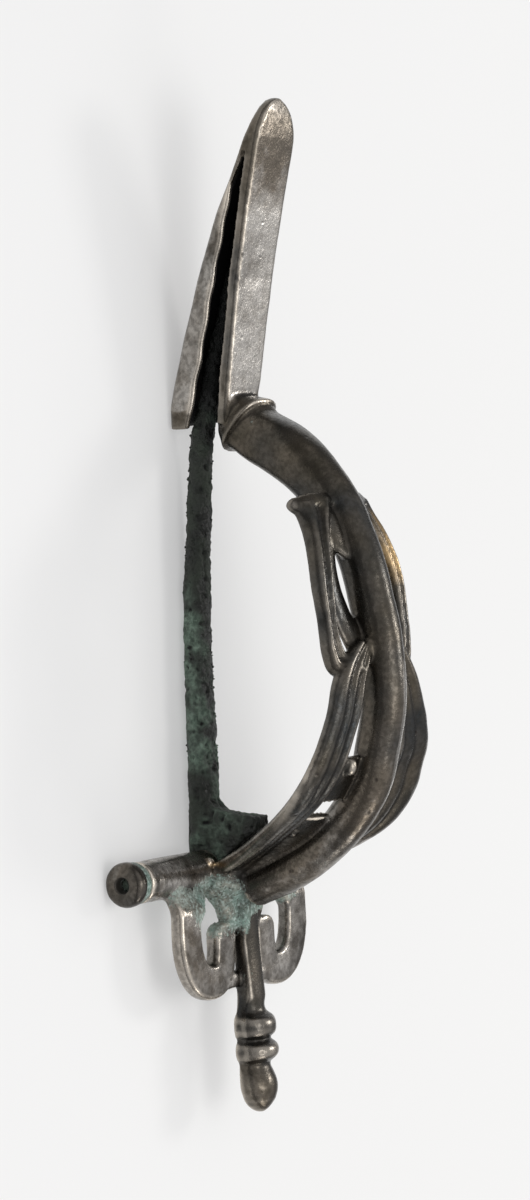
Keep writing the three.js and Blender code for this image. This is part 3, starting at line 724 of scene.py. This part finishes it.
def marked_by_shape(piece, rounds):
    """Store how far each point stands out of, or lies below, the surface around it."""
    mesh = piece.data
    count = len(mesh.vertices)
    places, normals = points_of(mesh)
    places = places / MM
    edges = np.zeros(len(mesh.edges) * 2, int)
    mesh.edges.foreach_get("vertices", edges)
    first, second = edges.reshape(-1, 2).T
    near = np.maximum(np.bincount(first, minlength=count) + np.bincount(second, minlength=count), 1)[:, None]

    def averaged(values):
        total = np.zeros_like(values)
        np.add.at(total, first, values[second])
        np.add.at(total, second, values[first])
        return total / near

    around = places
    for _ in range(rounds):
        around = averaged(around)
    height = ((places - around) * normals).sum(1, keepdims=True)
    for _ in range(2):
        height = 0.5 * height + 0.5 * averaged(height)
    for name, values in (("proud", height), ("sunk", -height)):
        layer = mesh.attributes.new(name, "FLOAT", "POINT")
        layer.data.foreach_set("value", np.clip(values[:, 0] * 10, 0, 1).astype(np.float32))


def fades(distance, near, far):
    """One up to near, nothing from far on."""
    return min(1.0, max(0.0, (far - distance) / (far - near)))


def verdigris_places(place, normal):
    """Green crust spreads from the axle over the head, the plate's upper edges and the tube's ends."""
    length, away, height = HINGE[0] - place.x, -place.y, place.z
    head = fades(math.hypot((length + 2.1) * 0.85, max(0.0, abs(away) - 3.2) * 0.62), 1.8, 3.7)
    head *= 1 - (1 - fades(-length, 3.4, 4.4)) * fades(away, 0.2, 0.8)
    head *= fades(length, -1.4, 0.4) * (1 - fades(math.hypot(length - KNOB[0], away - KNOB[1]), 0.7, 1.1))
    arm = fades(math.hypot((length + 4.4) * 0.55, away - 5.9), 0.5, 1.7) * 0.9
    stem_side = fades(math.hypot((length + 4.2) * 0.6, away - 1.8), 0.3, 1.6) * 0.85
    below = fades(math.hypot(length + 1.0, height - 0.6), 0.6, 2.0) * fades(abs(away), 7, 9) * 0.7
    flank = fades(math.hypot((length + 1.7) * 0.9, (abs(away) - 8.2) * 0.55), 0.3, 1.3) * 0.8
    if length > 3.2:
        return 0.0
    return max(head, arm, stem_side, below, flank) * fades(height, 4.9, 6.2)


def polish_and_painted_light_places(place, normal):
    """Polish, with painted light: the foot's flat top is the brightest silver, partly polish and partly painted
    light from above on its upward faces, with painted shade towards its tip; the stout part of the bow is the
    dullest, with painted shade at the band, and a painted highlight runs along the bow's far edge.
    """
    length, away, height = HINGE[0] - place.x, -place.y, place.z
    on_foot = fades(40.6 - 0.33 * away - length, 0.0, 0.5)
    # Painted light: the foot's upward-facing top is made brighter, as light from above falls on it, on top of
    # its polish.
    foot = 0.12 + 0.81 * fades(1.0 - normal.z, 0.05, 0.4)
    # Painted shade: the top is darkened towards the tip, against the overhead lamp's reflection there.
    foot -= 0.42 * fades(61.5 - length, 0.0, 6.0)
    if height < read(BAR_TOPS, max(length, 39)) - 2.2:
        foot = 0.74
    strap = fades(2.3 - abs(away), 0.0, 0.5)
    strap_tone = 0.10 * fades(abs(length - 30.5), 0.5, 3) + 0.34 * fades(length, 10, 16) - 0.08
    plate = fades(length, -3.5, -1.5)
    bow_tone = 0.18 + 0.42 * fades(length, 9, 18) + 0.05 * fades(abs(length - 21), 1, 5)
    # Painted shade: the band next to the foot is darkened, as it faces away from the light.
    bow_tone -= 0.16 * fades(abs(length - 35), 2, 5)
    # Painted highlight: a bright line along the bow's far edge, where its surface turns towards the picture's
    # right.
    painted_rim_highlight = fades(abs(normal.dot(Vector(picture_right)) - 0.92), 0.04, 0.1)
    bow_tone += (1.1 - bow_tone) * painted_rim_highlight * fades(abs(length - 11), 5, 8)
    bright = bow_tone + (strap_tone - bow_tone) * strap
    stem = 0.74 - 0.62 * fades(abs(away), 1.45, 1.9)
    stem += (0.36 - stem) * fades(length, -12.4, -11.6)
    bright = bright + (stem - bright) * plate
    tube = fades(4.6 - abs(away), 0.0, 1.0) * fades(abs(length), 1.8, 2.6)
    bright = bright + (0.78 - bright) * tube
    bright = bright + (foot - bright) * on_foot
    return bright


def warm_places(place, normal):
    """A golden tone left on the far trumpet, and one bright speck on the crossbar."""
    length, away = HINGE[0] - place.x, -place.y
    trumpet = fades(math.hypot((length - 27.3) * 0.8, away + 4.8), 0.8, 2.8)
    speck = fades(math.hypot(length - KNOB[0], away - KNOB[1]), 0.35, 0.6) * fades(place.z, 5.2, 5.6)
    return max(trumpet, speck) * fades(-normal.z, 0.0, 0.4)


def painted_shade_places(place, normal):
    """Painted shade: inside of the sheath and the slot, painted near-black where shade falls."""
    length, away, height = HINGE[0] - place.x, -place.y, place.z
    in_sheath = 0.0
    if length > 38.4:
        low, high = read(FLOORS, length) + 0.45, read(BAR_TOPS, length) - 0.95
        inner = abs(away) < foot_half(length) - 0.3
        lower_face = normal.z < -0.5 and height > high - 0.4
        if inner and (lower_face or low < height < high + 0.1):
            in_sheath = 1.0
        if away < -foot_half(length) + 0.9 and low < height < high and normal.y < -0.3:
            in_sheath = 1.0
    in_slot = fades(abs(away - PIN_SIDE), 1.0, 1.6) * fades(abs(length - 2), 3, 4.5) * fades(height, 5.0, 6.0)
    return max(in_sheath, in_slot * 0.7)


for attribute, amount in (
    ("verdigris", verdigris_places), ("polish_and_painted_light", polish_and_painted_light_places), ("warm", warm_places),
    ("painted_shade", painted_shade_places),
):
    marked(casting, attribute, amount)
uneven(casting, lambda place: verdigris_places(place, None) * (0.05 + 0.09 * noise.noise(place * 3.1)))
marked_by_shape(casting, 7)


def silver_finish():
    """Old silver: grey-brown sulphide over a warm metal, rubbed bright on ridges and given painted highlights
    there, black in hollows, and painted near-black as shade inside the sheath and the slot.
    """
    look = Finish("tarnished_silver")
    stored, ranged, cloudy, blended = look.stored, look.ranged, look.cloudy, look.blended
    plus, minus, times = look.plus, look.minus, look.times
    clouds = cloudy(260, 5.0, 0.32, 0.68)
    streaks = cloudy(900, 4.0, 0.3, 0.7)
    hue = cloudy(150, 2.0, 0.38, 0.62)
    ridges = ranged(stored("proud"), 0.36, 0.95)
    hollows = ranged(stored("sunk"), 0.16, 0.75)
    rubbed_and_glints = times(ridges, ranged(stored("polish_and_painted_light"), 0.04, 0.34, 0.22, 0.85))
    dull = blended(hue, (0.022, 0.027, 0.031), (0.052, 0.045, 0.032))
    clean = blended(hue, (0.15, 0.132, 0.112), (0.23, 0.195, 0.160))
    cloud_share = plus(times(clouds, 0.28), times(streaks, 0.20))
    # Share of clean silver: polish, with the painted light and shade stored alongside it, plus clouds.
    share = plus(minus(stored("polish_and_painted_light"), 0.24), cloud_share)
    colour = blended(share, dull, clean)
    colour = blended(ranged(share, 0.62, 1.0), colour, (0.53, 0.505, 0.47))
    freckles = cloudy(2600, 5.0, 0.40, 0.62)
    colour = blended(times(freckles, 0.42), colour, (0.024, 0.021, 0.016))
    colour = blended(times(stored("warm"), clouds), colour, (0.62, 0.42, 0.20))
    # Partly wear and partly painted highlight: raised ridges turn pale silver.
    colour = blended(rubbed_and_glints, colour, (0.72, 0.65, 0.56))
    colour = blended(times(hollows, 0.72), colour, (0.018, 0.016, 0.014))
    pits = look.nodes.new("ShaderNodeTexVoronoi")
    pits.inputs["Scale"].default_value = 620
    look.links.new(look.where, pits.inputs["Vector"])
    pit_depth = ranged(pits.outputs["Distance"], 0.16, 0.05)
    pit_patch = cloudy(420, 2.0, 0.52, 0.66)
    pit = times(pit_depth, pit_patch)
    colour = blended(times(pit, 0.8), colour, (0.03, 0.025, 0.022))
    # Painted shade: near-black, less metallic and rougher inside the sheath, the slot and the caps' holes.
    colour = blended(stored("painted_shade"), colour, (0.010, 0.010, 0.010))

    grain = cloudy(4200, 4.0, 0.3, 0.7)
    crust_edge = plus(stored("verdigris"), times(grain, 0.45))
    crust_cloud = plus(crust_edge, times(clouds, 0.45))
    crust = ranged(crust_cloud, 0.80, 1.08)
    crust_hue = cloudy(700, 5.0, 0.38, 0.62)
    green = blended(crust_hue, (0.085, 0.10, 0.08), (0.27, 0.40, 0.35))
    beige = cloudy(420, 4.0, 0.47, 0.62)
    green = blended(times(beige, 0.75), green, (0.33, 0.33, 0.28))
    specks = cloudy(4400, 2.0, 0.46, 0.36)
    green = blended(times(specks, 0.8), green, (0.045, 0.055, 0.045))
    pale = cloudy(3800, 3.0, 0.50, 0.64)
    green = blended(times(pale, 0.62), green, (0.60, 0.74, 0.69))
    look.give("Base Color", blended(crust, colour, green))
    metal = ranged(crust, 0.0, 1.0, 0.94, 0.0)
    look.give("Metallic", minus(metal, times(stored("painted_shade"), 0.7)))
    rough = ranged(share, 0.0, 1.0, 0.25, 0.20)
    rough = plus(rough, times(freckles, 0.12))
    rough = plus(rough, times(crust, 0.55))
    look.give("Roughness", plus(rough, times(stored("painted_shade"), 0.4)))

    relief = plus(times(streaks, 0.10), times(grain, 0.06))
    relief = minus(plus(relief, 0.4), times(pit, 0.35))
    relief = plus(relief, times(times(crust, grain), 0.5))
    look.bumpy(relief, 0.55, 0.00022)
    return look.material


def dressed(piece, material):
    piece.data.materials.clear()
    piece.data.materials.append(material)
    for face in piece.data.polygons:
        face.material_index = 0
        face.use_smooth = True


silver = silver_finish()
dressed(casting, silver)
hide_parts("silver_body")
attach(casting, "brooch")

# The caps: a turned silver button with a hole for the axle on each end of the crossbar. A ring of
# green corrosion has grown in the joint between cap and tube.
BORE_RADIUS = 0.62
CAP_PROFILE = [
    (BORE_RADIUS, 0.02), (1.5, 0.02), (1.74, 0.06), (1.83, 0.22), (1.85, 0.5), (1.83, 0.74), (1.84, 0.84),
    (1.925, 0.96), (1.95, 1.25), (1.93, 1.5), (1.86, 1.72), (1.72, 1.9), (1.5, 2.0), (1.2, 2.04),
    (0.86, 2.04), (0.72, 2.0), (0.64, 1.9), (BORE_RADIUS, 1.7),
]
CAP_START = 13.05


def hinge_ring(radius, away, count):
    """Circle about the hinge axis, at a distance towards the near side."""
    turn = np.linspace(0, 2 * np.pi, count, endpoint=False)
    return HINGE + np.stack([radius * np.cos(turn), np.full(count, -away), radius * np.sin(turn)], 1)


def turned(profile, start, direction, name, count=72):
    """Ring-shaped piece turned about the hinge axis; the profile is radius and distance outwards."""
    points = np.array([hinge_ring(radius, direction * (start + out), count) for radius, out in profile])
    points = points.reshape(-1, 3)
    rows = len(profile)
    faces = []
    for i in range(rows):
        for j in range(count):
            k, n = (j + 1) % count, (i + 1) % rows
            faces.append((i * count + j, i * count + k, n * count + k, n * count + j))
    return new_piece(name, points, faces)


def from_axis(place):
    return math.hypot(place.x - HINGE[0], place.z - HINGE[2])


for direction, node in ((1, "end_cap_near"), (-1, "end_cap_far")):
    cap = turned(CAP_PROFILE, CAP_START, direction, "turned_" + node)
    faces_out(cap)
    grow = cap.modifiers.new("finer", "SUBSURF")
    grow.levels = grow.render_levels = 1
    made_real(cap)
    uneven(cap, lambda place: -0.02 + noise.noise(place * 1.3) * 0.02)
    marked(cap, "verdigris", lambda place, normal: fades(abs(abs(place.y) - 13.4), 0.45, 0.68))
    marked(cap, "polish_and_painted_light", lambda place, normal: 0.44 + 0.12 * noise.noise(place * 0.8))
    # Painted shade: the inside of the axle hole is painted near-black.
    marked(cap, "painted_shade", lambda place, normal: fades(from_axis(place), 0.6, 0.8))
    marked_by_shape(cap, 5)
    dressed(cap, silver)
    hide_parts(node)
    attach(cap, "brooch")

# The pin: a forged bar of copper alloy with a flat eye round the axle and a lug that stands up beside
# the bow's end. It is corroded all over to a rough, pitted dark green crust.
PIN_FUSE_STEP, PIN_FUSE_STEP_QUICK = 0.115, 0.2
EYE_RADIUS = 1.74
SHANK = [
    (2.2, 1.4), (6, 1.36), (12, 1.3), (18, 1.25), (24, 1.3), (30, 1.6), (36, 1.95), (40, 2.75), (45, 4.0),
    (50, 5.4), (55, 6.8),
]
SIDEWAYS = [(0, 1.5), (20, 1.3), (38, 0.5), (55, 0.2)]
SHANK_RADII = [(0, 1.3), (0.15, 1.24), (0.4, 1.15), (0.6, 1.06), (0.75, 0.86), (0.9, 0.62), (1, 0.3)]
EYE_OUTLINE = [
    (0.0, -1.74), (2.6, -1.76), (5.2, -1.72), (6.3, -1.4), (6.5, -0.6), (6.1, 0.5), (5.5, 1.1), (5.1, 1.6),
    (5.0, 2.4), (4.85, 3.4), (4.8, 4.4), (4.7, 5.3), (4.4, 5.52), (3.8, 5.5), (3.4, 5.2), (2.9, 4.4),
    (2.2, 3.5), (1.5, 2.7), (1.0, 1.9),
]
SHANK_WIDER = [(0, 1.32), (0.22, 1.28), (0.6, 1.08), (1, 1.0)]
shank_share = np.linspace(0, 1, 260)
shank_path = [(length, read(SIDEWAYS, length), height) for length, height in SHANK]
shank_line = smooth_line(placed(shank_path), len(shank_share))
shank_along = unit(np.gradient(shank_line, axis=0))
shank_across = np.tile([0.0, 1.0, 0.0], (len(shank_share), 1))
shank_out = unit(np.cross(shank_across, shank_along))
shank_turn = np.linspace(0, 2 * np.pi, 32, endpoint=False)
shank_size = np.interp(shank_share, *np.array(SHANK_RADII).T)
shank_wide = np.interp(shank_share, *np.array(SHANK_WIDER).T)
shank_rings = (
    shank_line[:, None]
    + shank_across[:, None] * (np.cos(shank_turn)[None, :, None] * (shank_size * shank_wide)[:, None, None])
    + shank_out[:, None] * (np.sin(shank_turn)[None, :, None] * shank_size[:, None, None])
)
eye_back = [(EYE_RADIUS * math.cos(a), EYE_RADIUS * math.sin(a)) for a in np.linspace(1.2, math.pi * 1.45, 20)]
eye_outline = EYE_OUTLINE + eye_back
eye_rings = []
for away, inset in ((-1.12, 0.18), (-0.95, 0.0), (0.0, -0.02), (0.95, 0.0), (1.12, 0.18)):
    centre = np.mean(eye_outline, axis=0)
    shrunk = [(centre + (np.array(p) - centre) * (1 - inset * 0.35)) for p in eye_outline]
    eye_rings.append(placed([(length, PIN_SIDE + away, HINGE[2] + rise) for length, rise in shrunk]))
pin = new_piece("forged_pin", *joined([skin(shank_rings), skin(eye_rings)]))
faces_out(pin)
fused(pin, PIN_FUSE_STEP, 2)
cut_out(pin, [hinge_ring(BORE_RADIUS, PIN_SIDE - end, 32) for end in (-2.5, 2.5)])


def pitting(place):
    """Layers of scale, soft lumps and sharp little pits; the eye's bore stays clean."""
    if from_axis(place) < 0.9:
        return 0.0
    lumps = noise.fractal(place * 0.55, 0.8, 2.1, 4) * 0.13
    scale = noise.noise(place * 2.3 + Vector((3, 9, 4))) * 0.07
    pit = max(0.0, noise.noise(place * 1.4 + Vector((11, 2, 5))) - 0.22) * 0.5
    fine = noise.noise(place * 5.5) * 0.035
    floor_room = min(1.0, max(0.15, (place.z - 0.05) / 0.6))
    lift = (lumps + scale + fine) * floor_room - pit
    return min(lift, 0.10 if place.z > 0.3 else 0.02) - 0.05


uneven(pin, pitting)
marked_by_shape(pin, 6)
# Painted shade: the part of the pin inside the sheath is painted near-black.
marked(pin, "painted_sheath_shade", lambda place, normal: fades(SHEATH_MOUTH + 1 - HINGE[0] + place.x, -0.8, 0.8))


def corroded_finish():
    """Copper alloy corroded to near-black green with paler, dusty green patches on its high places."""
    look = Finish("corroded_copper_alloy")
    broad = look.cloudy(130, 4.0, 0.50, 0.62)
    middle = look.cloudy(520, 6.0, 0.38, 0.64)
    fine = look.cloudy(2400, 5.0, 0.36, 0.66)
    dark = look.blended(middle, (0.012, 0.014, 0.011), (0.045, 0.055, 0.042))
    pale = look.blended(fine, (0.085, 0.125, 0.095), (0.24, 0.33, 0.26))
    colour = look.blended(look.times(broad, middle), dark, pale)
    # Painted shade inside the sheath.
    colour = look.blended(look.stored("painted_sheath_shade"), colour, (0.007, 0.008, 0.007))
    hollow = look.ranged(look.stored("sunk"), 0.1, 0.7)
    look.give("Base Color", look.blended(hollow, colour, (0.006, 0.007, 0.006)))
    look.give("Metallic", 0.0)
    look.give("Roughness", look.ranged(middle, 0.0, 1.0, 0.48, 0.9))
    look.bumpy(look.combined("ADD", middle, fine, clamped=False), 0.8, 0.00018)
    return look.material


corroded = corroded_finish()
dressed(pin, corroded)
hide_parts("pin")
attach(pin, "pin")

# The axle: a thin rod of the same copper alloy through the tube and both caps. Only its ends show,
# deep in the caps' holes.
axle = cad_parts["hinge_axle"]
axle.data.materials.clear()
axle.data.materials.append(corroded)

# The loose grains: crumbs of green corrosion that stand on the crust at the head and scabs of scale
# that stand on the pin. They are scattered by rule over the places where the crust is thick.


def grain_tree(name, material):
    """Geometry Nodes: grains scattered on a surface where its attribute is strong, made real."""
    tree = bpy.data.node_groups.new(name, "GeometryNodeTree")
    face = tree.interface
    face.new_socket("Geometry", in_out="INPUT", socket_type="NodeSocketGeometry")
    face.new_socket("Per square metre", in_out="INPUT", socket_type="NodeSocketFloat")
    face.new_socket("Smallest", in_out="INPUT", socket_type="NodeSocketFloat")
    face.new_socket("Largest", in_out="INPUT", socket_type="NodeSocketFloat")
    face.new_socket("Seed", in_out="INPUT", socket_type="NodeSocketInt")
    face.new_socket("Geometry", in_out="OUTPUT", socket_type="NodeSocketGeometry")
    add, link = tree.nodes.new, tree.links.new
    given, result = add("NodeGroupInput"), add("NodeGroupOutput")
    crust = add("GeometryNodeInputNamedAttribute")
    crust.data_type = "FLOAT"
    crust.inputs["Name"].default_value = "grains"
    density = add("ShaderNodeMath")
    density.operation = "MULTIPLY"
    link(crust.outputs["Attribute"], density.inputs[0])
    link(given.outputs["Per square metre"], density.inputs[1])
    scatter = add("GeometryNodeDistributePointsOnFaces")
    link(given.outputs["Geometry"], scatter.inputs["Mesh"])
    link(density.outputs["Value"], scatter.inputs["Density"])
    link(given.outputs["Seed"], scatter.inputs["Seed"])
    crumb = add("GeometryNodeMeshIcoSphere")
    crumb.inputs["Radius"].default_value = 1.0
    crumb.inputs["Subdivisions"].default_value = 2
    size = add("FunctionNodeRandomValue")
    size.data_type = "FLOAT_VECTOR"
    spread_low, spread_high = add("ShaderNodeCombineXYZ"), add("ShaderNodeCombineXYZ")
    for axis in ("X", "Y", "Z"):
        link(given.outputs["Smallest"], spread_low.inputs[axis])
        link(given.outputs["Largest"], spread_high.inputs[axis])
    link(spread_low.outputs["Vector"], size.inputs["Min"])
    link(spread_high.outputs["Vector"], size.inputs["Max"])
    link(given.outputs["Seed"], size.inputs["Seed"])
    stand = add("GeometryNodeInstanceOnPoints")
    link(scatter.outputs["Points"], stand.inputs["Points"])
    link(crumb.outputs["Mesh"], stand.inputs["Instance"])
    link(scatter.outputs["Rotation"], stand.inputs["Rotation"])
    link(size.outputs["Value"], stand.inputs["Scale"])
    real = add("GeometryNodeRealizeInstances")
    link(stand.outputs["Instances"], real.inputs["Geometry"])
    finish = add("GeometryNodeSetMaterial")
    finish.inputs["Material"].default_value = material
    link(real.outputs["Geometry"], finish.inputs["Geometry"])
    link(finish.outputs["Geometry"], result.inputs["Geometry"])
    return tree


def scattered(name, surface, material, density, smallest, largest, seed):
    tree = grain_tree(name + "_rule", material)
    piece = bpy.data.objects.new(name, surface.data.copy())
    bpy.context.scene.collection.objects.link(piece)
    modifier = piece.modifiers.new("grains", "NODES")
    modifier.node_group = tree
    keys = {item.name: item.identifier for item in tree.interface.items_tree if item.in_out == "INPUT"}
    for label, value in (
        ("Per square metre", density), ("Smallest", smallest * MM), ("Largest", largest * MM), ("Seed", seed)
    ):
        modifier[keys[label]] = value
    made_real(piece)
    for polygon in piece.data.polygons:
        polygon.use_smooth = True
    return piece


def verdigris_finish():
    look = Finish("verdigris")
    hue = look.cloudy(900, 4.0, 0.36, 0.64)
    look.give("Base Color", look.blended(hue, (0.10, 0.13, 0.105), (0.36, 0.50, 0.44)))
    look.give("Roughness", 0.85)
    return look.material


verdigris = verdigris_finish()
marked(
    casting, "grains",
    lambda place, normal: max(0.0, verdigris_places(place, normal) - 0.62) * 2.2
    * fades(abs(HINGE[0] - place.x), 8, 10) * (1.0 if place.z > 1.6 else 0.0)
    * max(0.0, noise.noise(place * 1.1) + 0.35),
)
crumbs = scattered("verdigris_crumbs", casting, verdigris, 1.0e7, 0.03, 0.075, 5)
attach(crumbs, "brooch")
marked(
    pin, "grains",
    lambda place, normal: max(0.0, noise.noise(place * 0.45 + Vector((1, 8, 3))) + 0.12) * 1.2
    * (1.0 if place.z > 0.5 and from_axis(place) > 2.0 else 0.0)
    * fades(abs(HINGE[0] - place.x), 36, 38)
    * (1.0 if abs(place.y + PIN_SIDE) < 0.95 or place.x < 15.5 else 0.0),
)
scabs = scattered("pin_scabs", pin, corroded, 5.0e6, 0.05, 0.16, 11)
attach(scabs, "pin")
